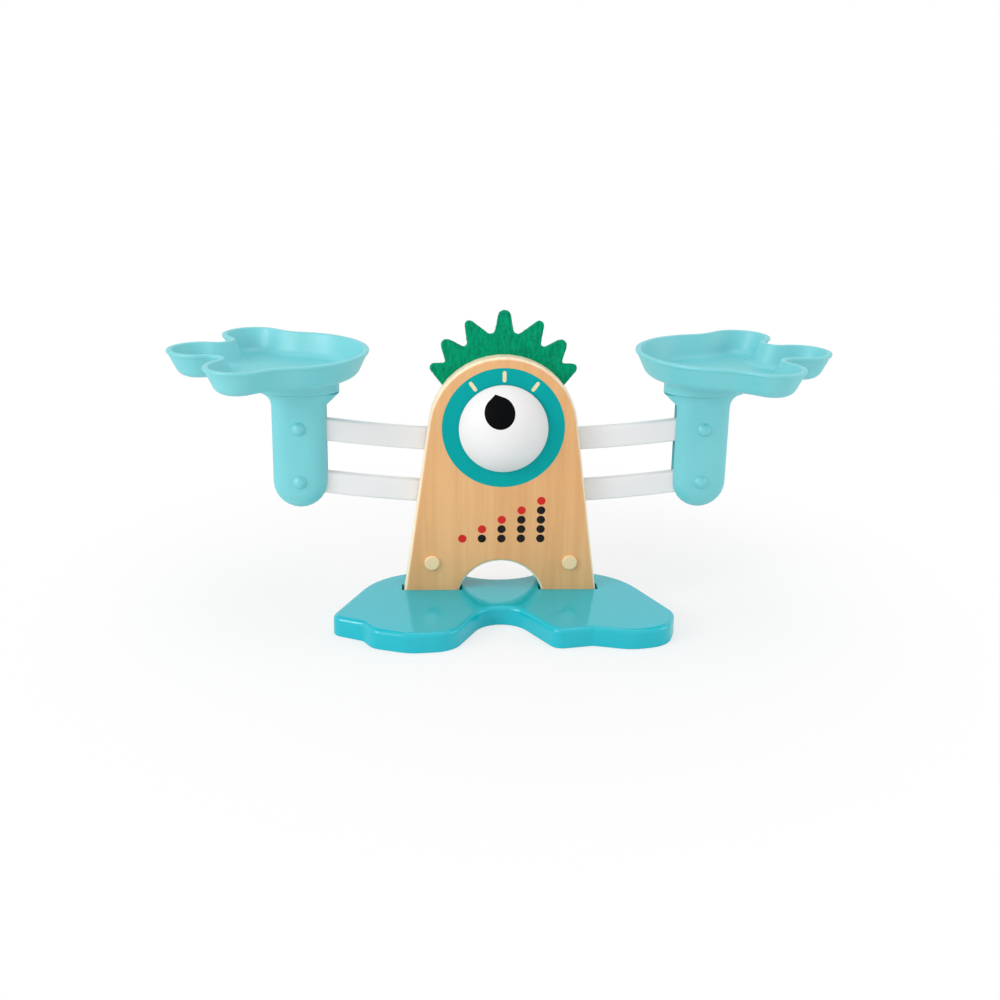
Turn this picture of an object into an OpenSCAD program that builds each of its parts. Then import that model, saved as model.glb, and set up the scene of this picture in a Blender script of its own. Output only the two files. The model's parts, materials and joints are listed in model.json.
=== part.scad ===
// Toy balance scale. A two-legged wooden stand on a foot-shaped base carries two
// parallel beams, and each pair of beam ends carries a plastic column with a pan.
// Millimetres. Z is up, the beams swing in the XZ plane, and the front faces -Y.
// The origin is on the underside of the base, below the middle of the beams.

/* [Base] */
// Thickness of the base board
base_t = 13; // [11:0.5:20]
// Round-over of the top edge of the base board
base_round = 3; // [1:0.5:3.2]
// Distance from the middle to the outermost toe
toe_reach = 112; // [108:1:125]
// Distance from the beams to the foremost toe
toe_front = 88; // [84:1:96]
// Wood behind the rear panel at the heels
heel_margin = 7.5; // [6:0.5:15]
// Wood beside the legs at the heels
heel_side = 14; // [12:0.5:18]
// Rounding of the heels
heel_round = 50; // [40:1:57]
// Wood in front of the front panel at the front bay
bay_front = 7.9; // [5:0.1:12]
// Distance from the back of the rear panel to the bottom of the back bay
bay_back = 16; // [14:0.5:18]
// Wood inside the leg slots at the corners of the back bay
bay_side = 6.8; // [6:0.2:9]
// Depth of the slots that hold the legs
slot_depth = 8.5; // [6:0.5:9]
// Room at each end of a leg in its slot
slot_end = 0.6; // [0.3:0.1:1.5]
// Room in front of and behind a leg in its slot
slot_side = 0.3; // [0.1:0.05:0.6]

/* [Stand] */
// Thickness of the front panel
front_t = 10; // [8:0.5:14]
// Thickness of the rear panel
rear_t = 8; // [6:0.5:10]
// Space between the two panels
panel_gap = 9; // [8:0.5:14]
// Radius of the round top of the panels
panel_r = 48.8; // [44:0.1:54]
// How far the middle of the round top lies below the eye axis
crown_drop = 2; // [0:0.5:4]
// How far the rear panel stays inside the edge of the front panel
rear_inset = 2; // [0:0.5:3]
// Splay of each leg from upright, degrees
leg_splay = 7.8; // [5:0.1:10]
// Height of the eye axis above the base board
eye_h = 112.5; // [105:0.5:125]
// Radius of the arch between the legs
arch_r = 28.8; // [24:0.1:32]
// Round-over of the outer edges of the panels
panel_round = 2.5; // [1:0.25:3.5]
// Diameter of the wooden pegs through the legs
peg_d = 10; // [8:0.5:12]
// Distance from the outer edge of a leg at its end to the peg
peg_edge = 19.5; // [16:0.5:23]
// Height of the pegs above the base board
peg_h = 19.5; // [17:0.5:24]
// How far a peg stands out of the front panel
peg_proud = 2; // [1:0.25:4]
// Height of the spacer blocks between the legs
spacer_h = 29; // [27:0.5:30]
// Width of the spacer blocks between the legs
spacer_w = 22; // [16:1:24]
// Shank diameter of the wood screws
screw_d = 3.5; // [3:0.25:4.5]
// Head diameter of the wood screws
screw_head_d = 7; // [6:0.25:8]
// Length of the base screws that bites into a leg
screw_bite = 16; // [10:1:16]
// Length of the crest screws that bites into the front panel
crest_bite = 6; // [4:0.5:7]

/* [Crest] */
// Thickness of the felt crest
felt_t = 3; // [2:0.25:4]
// How far the middle tip stands out of the panel edge
tip_middle = 28.6; // [24:0.2:32]
// Half the width of the middle tip where its round end begins
tip_half = 3.5; // [2.5:0.1:4.5]
// How far the tall tips beside it stand out
tip_tall = 30.2; // [26:0.2:34]
// How far the next tips stand out
tip_next = 26.8; // [22:0.2:29]
// How far the outermost tips stand out
tip_outer = 17.5; // [14:0.1:20]
// Rounding of the other tips
tip_round = 3; // [2:0.1:3.5]
// Distance of the notches beside the middle tip from the panel edge
dip_middle = 11; // [8:0.2:13]
// Distance of the other notches from the panel edge
dip_outer = 8; // [6:0.2:10]
// Rounding of the notches
dip_round = 1; // [0.8:0.1:1.3]
// How far the ends of the crest are tucked in behind the panel edge
crest_tuck = 5.3; // [4:0.1:7]
// Distance of the crest screws from the panel edge
crest_screw_in = 9.4; // [8:0.1:11]
// Angle of the crest screws from upright, degrees
crest_screw_turn = 31.2; // [25:0.2:36]
// Distance of the top spacer from the panel edge
top_margin = 4; // [3:0.5:6]

/* [Beams] */
// Distance from the middle to the pivots at the beam ends
half_span = 132.4; // [125:0.1:140]
// How far the end pivots lie below the middle pivot
pivot_drop = 2; // [0:0.5:3]
// Distance between the upper and the lower pivots
beam_step = 36; // [34:0.5:40]
// How far the middle of a beam sags below its ends
beam_sag = 10; // [6:0.5:12]
// Height of the beam section
beam_h = 14.8; // [12:0.2:15.2]
// Thickness of the beam section
beam_t = 7; // [5:0.25:7]
// Rounding of the beam edges
beam_edge = 1.6; // [0.5:0.1:2.4]
// Diameter of the bosses round the pivots at the beam ends
boss_d = 16; // [15.75:0.25:18]
// How far the bosses stand out of the sides of a beam
boss_proud = 0.2; // [0.1:0.05:0.25]
// Radius of the hub round the middle pivot
hub_r = 11.5; // [9:0.5:12]
// Diameter of the two axles
axle_d = 6; // [5:0.25:8]
// Depth of the lower axle in the front panel
axle_seat = 7; // [4:0.5:7.5]
// Diameter of the flanges and washers beside the hubs
washer_d = 15; // [13:0.5:20]
// Thickness of the flanges and washers
washer_t = 0.6; // [0.5:0.1:1]
// Outer diameter of the bushes in the panels
bush_d = 9; // [8.5:0.25:11]
// Diameter of the axle caps at the back
cap_d = 13; // [11:0.5:16]
// Height of the axle caps at the back
cap_h = 4.5; // [4:0.25:6]

/* [Eye] */
// Radius of the eye dome
dome_r = 29; // [24:0.5:34]
// Height of the dome above its rim
dome_h = 15; // [10:0.5:20]
// Height of the straight rim of the dome
dome_rim = 1.6; // [0.8:0.2:3]
// Room between the dome and the panel
dome_gap = 0.6; // [0.4:0.1:1.5]
// Depth of the axle in the dome
dome_grip = 9; // [6:0.5:10]
// Radius of the round part of the pointer
pointer_r = 9.7; // [6:0.1:10]
// Distance from the axis to the middle of the pointer
pointer_mid = 13.9; // [11:0.1:15]
// Distance from the axis to the tip of the pointer
pointer_tip = 25; // [24.5:0.1:27]
// Turn of the pointer from upright, degrees to the left
pointer_turn = 14; // [-40:1:40]
// Depth of the pointer inlay
pointer_t = 1; // [0.6:0.1:2]

/* [Columns] */
// Width of a column
column_w = 35.5; // [32:0.5:38]
// Depth of a column from front to back
column_d = 22; // [20:0.5:28]
// Wall of the column shells
column_wall = 2.4; // [1.6:0.1:3]
// Widening of a column at its top
column_flare = 8.2; // [6:0.2:10]
// Height of the top of a column above the upper pivot
column_top = 22.4; // [21:0.2:28]
// Height of the slot for the beam ends above the upper pivot
slot_top = 17.5; // [16:0.5:18]
// How far the middle of the round end lies below the lower pivot
column_end = 1.2; // [0:0.1:3]
// Rounding of the front of the columns, from side to side
column_soft_w = 12.8; // [8:0.2:13]
// Rounding of the front of the columns, from front to back
column_soft_d = 8; // [5:0.5:9]
// Diameter of the pivot pins
pin_d = 6; // [4:0.25:7]
// Diameter of the pin heads
pin_head_d = 9.2; // [7.2:0.2:9.6]
// Height of the pin heads
pin_head_h = 2.8; // [1:0.1:3.4]
// Height of the tongue that enters the pan
tongue_h = 5.5; // [3:0.25:6]
// Width of the tongue that enters the pan
tongue_w = 24; // [16:0.5:28]
// Depth of the tongue that enters the pan from front to back
tongue_d = 11; // [8:0.5:14]

/* [Pans] */
// Outer radius of the bowl of a pan
bowl_r = 54; // [48:0.5:60]
// Radius of each finger of a pan
finger_r = 21.2; // [19:0.2:24]
// Distance from the bowl centre to the finger centres
finger_reach = 53.9; // [50:0.1:58]
// Angle between neighbouring fingers
finger_fan = 62.9; // [60:0.1:68]
// Radius of the blend between a finger and the bowl
blend_r = 30; // [20:1:40]
// Distance from the bowl centre to the bottom of a notch between fingers
notch_floor = 45.9; // [40:0.1:50]
// Depth of a pan
pan_depth = 17; // [14:0.5:22]
// Wall of a pan
pan_wall = 2; // [1.5:0.1:3]
// How far the wall of a pan leans in towards its floor
pan_lean = 6.6; // [4:0.2:8]
// Radius of the outer edge of the pan floor
pan_fillet = 8; // [5:0.5:9]
// How far the rim bead stands out of the wall
rim_bead = 1.4; // [0.8:0.1:1.6]
// Height of the rim bead
rim_h = 3; // [2:0.25:4]
// How far a pan sits outwards of its column
pan_offset = 8.2; // [0:0.1:10]
// Height of the foot under a pan
foot_h = 11.3; // [8:0.1:14]
// How far the foot stands out over the sides of its column
foot_lip = 0.3; // [0.1:0.1:2]
// Depth of the foot under a pan from front to back
foot_d = 30; // [26:0.5:34]
// Bevel of the foot along the seam to its column
seam = 1; // [0.4:0.1:1.2]

/* [Fits] */
// Radial running clearance of pins and axles
run_fit = 0.08; // [0.03:0.01:0.1]
// Clearance beside the hubs
side_fit = 0.2; // [0.1:0.05:0.4]
// Clearance beside the beam ends in the columns
slot_fit = 0.5; // [0.3:0.05:1]
// Clearance round the tongues in the pan feet
tongue_fit = 0.15; // [0.05:0.05:0.3]

/* [Hidden] */
$fn = 96;

teal_paint = "#3fbfc4";
beech = "#e3b583";
pale_wood = "#f0dcae";
felt_green = "#0c9a66";
aqua = "#6fcdd2";
white = "#f4f4f2";
black = "#151515";
steel = "#b8bcc0";

eye_z = base_t + eye_h;
half_gap = panel_gap / 2;
front_y = -half_gap - front_t;
rear_y = half_gap + rear_t;
leg_drop = eye_h + slot_depth;
leg_edge = panel_r / cos(leg_splay) + (leg_drop - crown_drop) * tan(leg_splay);
arch_at_top = sqrt(pow(arch_r, 2) - pow(slot_depth, 2));
peg_x = leg_edge - peg_edge;
slot_inner = arch_at_top - slot_end - slot_depth * tan(leg_splay);
slot_outer = leg_edge + slot_end;
peg_z = base_t + peg_h;
hub_t = panel_gap - 2 * (washer_t + side_fit);
lower_z = eye_z - beam_step;
end_z = eye_z - pivot_drop;
pan_floor_z = column_top + foot_h;
foot_half = column_w / 2 + column_flare + foot_lip;
slot_half = beam_t / 2 + slot_fit;
over = 1;
// Largest distance between a drawn arc and its chords
arc_sag = 0.15;

// Corners of the base as [x, y, radius], from the left toe round the front.
// The toes are set as shares of the reach and the front of the toes.
function toe(x, y, radius) = [x * toe_reach, -y * toe_front, radius * toe_front];
heel_x = leg_edge + heel_side;
heel_y = rear_y + heel_margin;
back_x = slot_inner + bay_side;
base_corners = [
    toe(-1, 0.653, 0.091),
    toe(-0.808, 0.775, 0.045),
    toe(-0.754, 0.903, 0.136),
    toe(-0.545, 1, 0.341),
    toe(-0.299, 0.966, 0.227),
    [-0.023 * toe_reach, front_y - bay_front, 0.211 * toe_front],
    toe(0.28, 0.943, 0.091),
    toe(0.496, 0.889, 0.04),
    toe(0.714, 0.966, 0.341),
    toe(0.929, 0.898, 0.227),
    toe(1, 0.614, 0.159),
    [heel_x, heel_y, heel_round],
    [back_x, heel_y, 0.28 * heel_round],
    [0, rear_y - bay_back, 0.8 * heel_round],
    [-back_x, heel_y, 0.28 * heel_round],
    [-heel_x, heel_y, heel_round]
];

// Corners of the right half of the crest as
// [degrees from upright, distance outside the panel edge, radius].
crest_half = [
    [56.7, -crest_tuck, dip_round],
    [50.3, tip_outer, tip_round],
    [41.3, dip_outer, dip_round],
    [34.8, tip_next, 1.3 * tip_round],
    [24.2, dip_outer, 2 * dip_round],
    [19.7, tip_tall, tip_round],
    [6.5, dip_middle, 3 * dip_round],
    [asin(tip_half / (panel_r + tip_middle)), tip_middle, 1.1 * tip_half]
];
function crest_corner(c, side) =
    let (reach = panel_r + c[1])
    [side * reach * sin(c[0]), reach * cos(c[0]) - crown_drop, c[2]];
felt_foot = crest_corner(crest_half[0], 1)[1];
crest_screw = crest_corner([crest_screw_turn, -crest_screw_in, 0], 1);

column_half = column_w / 2;

// Outlines with rounded corners

function unit(v) = v / norm(v);
function flat(p) = [p[0], p[1]];
function heading(a, b) = atan2(b[1] - a[1], b[0] - a[0]);
function turned(a, b) = (b - a + 720) % 360;

// Steps that keep the chords of an arc close to it.
function arc_steps(radius, sweep) = ceil(abs(sweep) / (2 * acos(1 - min(arc_sag / radius, 1))));

// Points of one corner, moved inwards by inset, for an outline that runs anticlockwise.
function corner_points(before, here, after, radius, inset, steps) =
    let (
        u = unit(before - here),
        w = unit(after - here),
        half = acos(u * w) / 2,
        middle = here + unit(u + w) * radius / sin(half),
        turn = cross(here - before, after - here) > 0 ? 1 : -1,
        first = heading(middle, here + u * radius / tan(half)),
        sweep = turn * (180 - 2 * half),
        n = steps > 0 ? steps : arc_steps(radius, sweep)
    )
    [for (i = [0 : n]) middle + (radius - turn * inset)
        * [cos(first + sweep * i / n), sin(first + sweep * i / n)]];

// A sharp corner, moved inwards along its bisector.
function sharp_point(before, here, after, inset) =
    let (
        u = unit(before - here),
        w = unit(after - here),
        half = acos(u * w) / 2,
        turn = cross(here - before, after - here) > 0 ? 1 : -1
    )
    [here + turn * unit(u + w) * inset / sin(half)];

// Drops each point that lies on the one before it.
function distinct(points) =
    let (n = len(points))
    [for (i = [0 : n - 1]) if (norm(points[i] - points[(i + n - 1) % n]) > 0.001) points[i]];

// An outline of [x, y, radius] corners, moved inwards by inset. A fourth value sets the
// number of steps of a round corner.
function outline(corners, inset = 0) =
    let (n = len(corners))
    distinct([for (k = [0 : n - 1])
        let (
            before = flat(corners[(k + n - 1) % n]),
            here = flat(corners[k]),
            after = flat(corners[(k + 1) % n]),
            radius = corners[k][2],
            steps = len(corners[k]) > 3 ? corners[k][3] : 0
        )
        each radius > 0
            ? corner_points(before, here, after, radius, inset, steps)
            : sharp_point(before, here, after, inset)]);

function lifted(points, z) = [for (p = points) [p[0], p[1], z]];

// Whether a point lies in the triangle a, b, c.
function within(p, a, b, c) =
    cross(b - a, p - a) >= 0 && cross(c - b, p - b) >= 0 && cross(a - c, p - c) >= 0;

// Whether the corner k of the points that are left can be cut off as a triangle.
function is_ear(points, left, k) =
    let (
        n = len(left),
        a = points[left[(k + n - 1) % n]],
        b = points[left[k]],
        c = points[left[(k + 1) % n]],
        others = [for (j = [2 : n - 2]) points[left[(k + j) % n]]]
    )
    cross(b - a, c - b) > 0.000001 && len([for (p = others) if (within(p, a, b, c)) p]) == 0;
function first_ear(points, left, k = 0) =
    k == len(left) - 1 || is_ear(points, left, k) ? k : first_ear(points, left, k + 1);

// Triangles that fill an anticlockwise outline, cut off one corner at a time.
function filled(points, left, found = []) =
    let (n = len(left), k = n > 3 ? first_ear(points, left) : 0)
    n < 3 ? found : filled(
        points,
        [for (j = [1 : n - 1]) left[(k + 1 + j % (n - 1)) % n]],
        concat(found, [[left[(k + n - 1) % n], left[k], left[(k + 1) % n]]])
    );

// A closed solid through rings of points, each ring anticlockwise from above.
module skin(rings) {
    n = len(rings[0]);
    last = len(rings) - 1;
    all = [for (i = [0 : n - 1]) i];
    sides = [for (k = [0 : last - 1]) for (i = [0 : n - 1]) each [
        [k * n + i, (k + 1) * n + i, (k + 1) * n + (i + 1) % n],
        [k * n + i, (k + 1) * n + (i + 1) % n, k * n + (i + 1) % n]
    ]];
    floor_faces = filled([for (p = rings[0]) flat(p)], all);
    top_faces = [for (t = filled([for (p = rings[last]) flat(p)], all))
        [last * n + t[2], last * n + t[1], last * n + t[0]]];
    polyhedron([for (ring = rings) each ring], concat(sides, floor_faces, top_faces));
}

// A solid with one outline, drawn in by the inset of each [inset, height] ring.
module lofted(corners, rings) {
    skin([for (ring = rings) lifted(outline(corners, ring[0]), ring[1])]);
}

// Rings that round the top edge of a board.
function round_over(height, radius) = concat(
    [[0, 0]],
    [for (a = [0 : 18 : 90]) [radius * (1 - cos(a)), height - radius * (1 - sin(a))]]
);

// Placing

// Draws its children on the right, or mirrored on the left.
module on_side(side) {
    mirror([side == "left" ? 1 : 0, 0, 0]) children();
}

// Turns a drawing in XY up into XZ, so that its height points to the front.
module facing_front() {
    rotate([90, 0, 0]) children();
}

// Places a drawing of the column at the upper end pivot.
module at_column() {
    translate([half_span, 0, end_z]) children();
}

// A cylinder along Y from one depth to another.
module rod(d, from, to) {
    translate([0, to, 0]) rotate([90, 0, 0]) cylinder(d = d, h = to - from);
}

// A spherical cap of given base diameter and height, with its base in XY.
module cap_solid(d, h) {
    sphere_r = (d * d / 4 + h * h) / (2 * h);
    intersection() {
        translate([0, 0, h - sphere_r]) sphere(r = sphere_r);
        cylinder(d = d + 2 * over, h = h + over);
    }
}

// Base

module leg_slots(near, far, smaller = 0) {
    length = slot_outer - smaller / cos(leg_splay) - slot_inner;
    for (side = [0, 1]) {
        mirror([side, 0, 0])
            translate([slot_inner, near - slot_side, base_t - slot_depth])
                cube([length, far - near + 2 * slot_side, slot_depth + over]);
    }
}

module wood_screw(length) {
    head_h = (screw_head_d - screw_d) / 2;
    cylinder(d1 = screw_head_d, d2 = screw_d, h = head_h);
    cylinder(d = screw_d, h = length);
}

module each_base_screw() {
    for (side = [-1, 1]) {
        for (y = [-half_gap - front_t / 2, half_gap + rear_t / 2]) {
            translate([side * peg_x, y, 0]) wood_screw(base_t - slot_depth + screw_bite);
        }
    }
}

module base_board() {
    color(teal_paint)
    difference() {
        lofted(base_corners, round_over(base_t, base_round));
        leg_slots(front_y, -half_gap);
        leg_slots(half_gap, rear_y, rear_inset);
        each_base_screw();
    }
}

module base_screws() {
    color(steel) each_base_screw();
}

// Stand

// Outline of a panel with the eye axis at the origin: a round top, two splayed legs and
// the arch between them. The inset draws in every edge but the ends of the legs, and
// smaller draws in the outer edge only.
function panel_outline(inset, smaller) =
    let (
        foot = leg_edge - (inset + smaller) / cos(leg_splay),
        top = 180 - 2 * leg_splay,
        top_steps = arc_steps(panel_r, top),
        arch_steps = arc_steps(arch_r, 180)
    )
    concat(
        [[foot, -leg_drop]],
        [for (i = [0 : top_steps])
            let (a = leg_splay + top * i / top_steps)
            [0, -crown_drop] + (panel_r - inset - smaller) * [cos(a), sin(a)]],
        [[-foot, -leg_drop]],
        [for (i = [0 : arch_steps])
            let (a = 180 - 180 * i / arch_steps)
            [0, -leg_drop] + (arch_r + inset) * [cos(a), sin(a)]]
    );

// A panel with its inner face in XY and its outer face up.
module panel_blank(t, smaller = 0) {
    skin([for (ring = round_over(t, panel_round))
        lifted(panel_outline(ring[0], smaller), ring[1])]);
}

module each_peg_place() {
    for (side = [-1, 1]) {
        translate([side * peg_x, 0, peg_z]) children();
    }
}

module each_crest_screw() {
    for (side = [-1, 1]) {
        translate([side * crest_screw[0], rear_y, eye_z + crest_screw[1]])
            rotate([90, 0, 0])
                wood_screw(rear_t + panel_gap + crest_bite);
    }
}

module front_panel() {
    color(beech)
    difference() {
        translate([0, -half_gap, eye_z]) facing_front() panel_blank(front_t);
        translate([0, 0, eye_z]) rod(bush_d, front_y - over, over);
        translate([0, 0, lower_z]) rod(axle_d, -half_gap - axle_seat, over);
        each_peg_place() rod(peg_d, front_y - over, over);
        each_crest_screw();
        each_base_screw();
    }
}

module rear_panel() {
    color(beech)
    difference() {
        translate([0, half_gap, eye_z])
            mirror([0, 1, 0]) facing_front() panel_blank(rear_t, rear_inset);
        translate([0, 0, eye_z]) rod(bush_d, -over, rear_y + over);
        translate([0, 0, lower_z]) rod(axle_d, -over, rear_y + over);
        each_peg_place() rod(peg_d, -over, rear_y + over);
        each_crest_screw();
        each_base_screw();
    }
}

module leg_spacer(side) {
    color(pale_wood)
    difference() {
        on_side(side)
            translate([peg_x - spacer_w / 2, -half_gap, base_t])
                cube([spacer_w, panel_gap, spacer_h]);
        each_peg_place() rod(peg_d, -panel_gap, panel_gap);
    }
}

module left_leg_spacer() {
    leg_spacer("left");
}

module right_leg_spacer() {
    leg_spacer("right");
}

module leg_pegs() {
    chamfer = peg_proud / 3;
    color(pale_wood)
    each_peg_place() {
        rod(peg_d, front_y - peg_proud + chamfer, rear_y);
        translate([0, front_y - peg_proud + chamfer, 0])
            rotate([90, 0, 0])
                cylinder(d1 = peg_d, d2 = peg_d - 2 * chamfer, h = chamfer);
    }
}

module top_spacer() {
    color(pale_wood)
    difference() {
        intersection() {
            translate([0, 0, eye_z - crown_drop])
                rod(2 * (panel_r - top_margin), -half_gap + felt_t, half_gap);
            translate([-panel_r, -panel_gap, eye_z + felt_foot])
                cube([2 * panel_r, 2 * panel_gap, panel_r]);
        }
        each_crest_screw();
    }
}

module felt_crest() {
    right = [for (c = crest_half) crest_corner(c, 1)];
    left = [for (k = [len(crest_half) - 1 : -1 : 0]) crest_corner(crest_half[k], -1)];
    color(felt_green)
    difference() {
        translate([0, -half_gap + felt_t, eye_z])
            facing_front()
                linear_extrude(felt_t) polygon(outline(concat(right, left)));
        each_crest_screw();
    }
}

module crest_screws() {
    color(steel) each_crest_screw();
}

// Axles

module axle_bushes() {
    lip = 1;
    color(white)
    translate([0, 0, eye_z])
    difference() {
        union() {
            rod(bush_d, front_y + lip, -half_gap);
            rod(washer_d, -half_gap, -half_gap + washer_t);
            rod(bush_d, half_gap, rear_y - lip);
            rod(washer_d, half_gap - washer_t, half_gap);
        }
        rod(axle_d + 2 * run_fit, front_y, rear_y);
    }
}

module lower_axle() {
    color(steel)
    translate([0, 0, lower_z]) {
        rod(axle_d, -half_gap - axle_seat, rear_y);
        translate([0, rear_y, 0]) rotate([-90, 0, 0]) cap_solid(cap_d, cap_h - washer_t);
    }
}

module lower_washers() {
    color(white)
    translate([0, 0, lower_z])
    difference() {
        union() {
            rod(washer_d, -half_gap, -half_gap + washer_t);
            rod(washer_d, half_gap - washer_t, half_gap);
        }
        rod(axle_d, -panel_gap, panel_gap);
    }
}

module eye_axle() {
    color(steel)
    translate([0, 0, eye_z]) rod(axle_d, front_y - dome_gap - dome_grip, rear_y + cap_h / 2);
}

module eye_axle_cap() {
    color(steel)
    translate([0, rear_y + 2 * side_fit, eye_z])
    difference() {
        rotate([-90, 0, 0]) cap_solid(cap_d, cap_h);
        rod(axle_d, -over, cap_h / 2 - 2 * side_fit);
    }
}

// Beams

// A bar with rounded edges that follows the sag from end pivot to end pivot.
module beam_bar() {
    arc_r = (half_span * half_span + beam_sag * beam_sag) / (2 * beam_sag);
    reach = asin(half_span / arc_r);
    middle = arc_r - beam_sag - pivot_drop;
    steps = 16;
    edge_steps = 3;
    section = outline([
        [-beam_t / 2, -beam_h / 2, beam_edge, edge_steps],
        [beam_t / 2, -beam_h / 2, beam_edge, edge_steps],
        [beam_t / 2, beam_h / 2, beam_edge, edge_steps],
        [-beam_t / 2, beam_h / 2, beam_edge, edge_steps]
    ]);
    rotate([90, 0, 90])
        skin([for (i = [0 : steps])
            let (a = reach * (2 * i / steps - 1))
            [for (p = section) [p[0], middle - (arc_r - p[1]) * cos(a), (arc_r - p[1]) * sin(a)]]]);
}

module each_beam_end() {
    for (side = [-1, 1]) {
        translate([side * half_span, 0, -pivot_drop]) children();
    }
}

// A beam with its middle pivot at the origin.
module beam(middle_bore) {
    boss_t = beam_t + 2 * boss_proud;
    difference() {
        union() {
            beam_bar();
            each_beam_end() rod(boss_d, -boss_t / 2, boss_t / 2);
            rod(2 * hub_r, -hub_t / 2, hub_t / 2);
        }
        rod(middle_bore, -panel_gap, panel_gap);
        each_beam_end() rod(pin_d + 2 * run_fit, -panel_gap, panel_gap);
    }
}

module upper_beam() {
    color(white) translate([0, 0, eye_z]) beam(axle_d);
}

module lower_beam() {
    color(white) translate([0, 0, lower_z]) beam(axle_d + 2 * run_fit);
}

// Eye

// Radius of the sphere that the dome is cut from, and the height of its middle.
dome_sphere = (dome_r * dome_r + dome_h * dome_h) / (2 * dome_h);
dome_centre = dome_rim + dome_h - dome_sphere;

// Outline of the pointer, a disc drawn out to a tip.
function pointer_points() =
    let (
        reach = pointer_tip - pointer_mid,
        side = acos(pointer_r / reach),
        sweep = 360 - 2 * side,
        n = arc_steps(pointer_r, sweep)
    )
    concat(
        [[0, pointer_mid + reach]],
        [for (i = [0 : n])
            let (a = 90 + side + sweep * i / n)
            [0, pointer_mid] + pointer_r * [cos(a), sin(a)]]
    );

// The plug that the pointer fills, with the dome standing on XY.
module pointer_plug() {
    foot = dome_centre + sqrt(pow(dome_sphere, 2) - pow(pointer_tip, 2)) - pointer_t;
    rotate([0, 0, pointer_turn])
        translate([0, 0, foot])
            linear_extrude(dome_rim + dome_h) polygon(pointer_points());
}

module at_dome() {
    translate([0, front_y - dome_gap, eye_z]) facing_front() children();
}

module eye_dome() {
    color(white)
    difference() {
        at_dome()
            difference() {
                rotate_extrude()
                    intersection() {
                        translate([0, dome_centre]) circle(r = dome_sphere);
                        square([dome_r, dome_h + dome_rim + over]);
                    }
                pointer_plug();
            }
        translate([0, 0, eye_z]) rod(axle_d, front_y - dome_gap - dome_grip, front_y);
    }
}

module eye_pointer() {
    color(black)
    at_dome()
        intersection() {
            pointer_plug();
            translate([0, 0, dome_centre]) sphere(r = dome_sphere);
        }
}

// Columns

// Outline of a column from the front, with the upper pivot at the origin: a round end, a
// hollow flare on the outer side and a sloping one on the inner side. The inset draws in
// every edge but the top.
function column_outline(inset) =
    let (
        half = column_half - inset,
        neck = column_top - column_flare,
        hollow_r = column_flare + inset,
        top_turn = asin(column_flare / hollow_r),
        end_steps = 14,
        flare_steps = 4
    )
    concat(
        [for (i = [0 : end_steps])
            let (a = 180 + 180 * i / end_steps)
            [0, -beam_step - column_end] + half * [cos(a), sin(a)]],
        [for (i = [0 : flare_steps])
            let (a = 180 - top_turn * i / flare_steps)
            [column_half + column_flare, neck] + hollow_r * [cos(a), sin(a)]],
        [
            [inset * sqrt(2) - column_half - column_flare, column_top],
            [-half, neck + inset * (sqrt(2) - 1)]
        ]
    );

// Rings of the front half of a column as [inset, depth], from the seam to the front.
column_rings = concat(
    [[0, 0]],
    [for (a = [0 : 15 : 90])
        [column_soft_w * (1 - cos(a)), column_d / 2 - column_soft_d * (1 - sin(a))]]
);

// The part of the column that the beam ends swing in, seen from the front.
module swing_area() {
    spine = column_half - column_wall;
    translate([-column_w, -beam_step - column_w])
        square([column_w, column_w + beam_step + slot_top]);
    translate([-over, -beam_step]) square([spine + over, beam_step + slot_top]);
    translate([0, -beam_step]) circle(r = spine);
}

// The hollow inside the wall of a shell, clear of the pin bosses.
module hollow_area() {
    front_turn = asin(1 - column_wall / column_soft_d);
    inner = column_half - column_wall - column_soft_w * (1 - cos(front_turn));
    boss_r = pin_head_d / 2 + column_wall / 2;
    difference() {
        union() {
            translate([-inner, -beam_step]) square([2 * inner, beam_step + slot_top]);
            translate([0, -beam_step]) circle(r = inner);
        }
        circle(r = boss_r);
        translate([0, -beam_step]) circle(r = boss_r);
    }
}

module each_pin_place() {
    for (z = [0, -beam_step]) {
        translate([0, 0, z]) children();
    }
}

// The front half of a column, with the upper pivot at the origin.
module column_shell() {
    difference() {
        union() {
            facing_front()
                skin([for (ring = column_rings) lifted(column_outline(ring[0]), ring[1])]);
            translate([-tongue_w / 2, -tongue_d / 2, column_top - over])
                cube([tongue_w, tongue_d / 2, tongue_h + over]);
        }
        translate([0, over, 0])
            facing_front() linear_extrude(slot_half + over) swing_area();
        facing_front()
            linear_extrude(column_d / 2 - column_wall) hollow_area();
        each_pin_place() rod(pin_d, -column_d, column_d);
    }
}

module column_front(side) {
    color(aqua) on_side(side) at_column() column_shell();
}

module column_rear(side) {
    color(aqua) on_side(side) at_column() mirror([0, 1, 0]) column_shell();
}

module pins(side) {
    color(aqua)
    on_side(side) at_column() each_pin_place() {
        rod(pin_d, -column_d / 2, column_d / 2);
        for (face = [0, 1]) {
            mirror([0, face, 0])
                translate([0, -column_d / 2, 0])
                    rotate([90, 0, 0]) cap_solid(pin_head_d, pin_head_h);
        }
    }
}

module left_column_front() {
    column_front("left");
}

module left_column_rear() {
    column_rear("left");
}

module left_pins() {
    pins("left");
}

module right_column_front() {
    column_front("right");
}

module right_column_rear() {
    column_rear("right");
}

module right_pins() {
    pins("right");
}

// Pans

bowl_centre = [0, 0];
function finger(k) = finger_reach * [cos(k * finger_fan), sin(k * finger_fan)];
blend_reach = bowl_r + blend_r;
blend_turn = finger_fan + acos(
    (pow(finger_reach, 2) + pow(blend_reach, 2) - pow(finger_r + blend_r, 2))
    / (2 * finger_reach * blend_reach)
);
function blend(k) = blend_reach * [cos(k * blend_turn), sin(k * blend_turn)];
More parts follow.
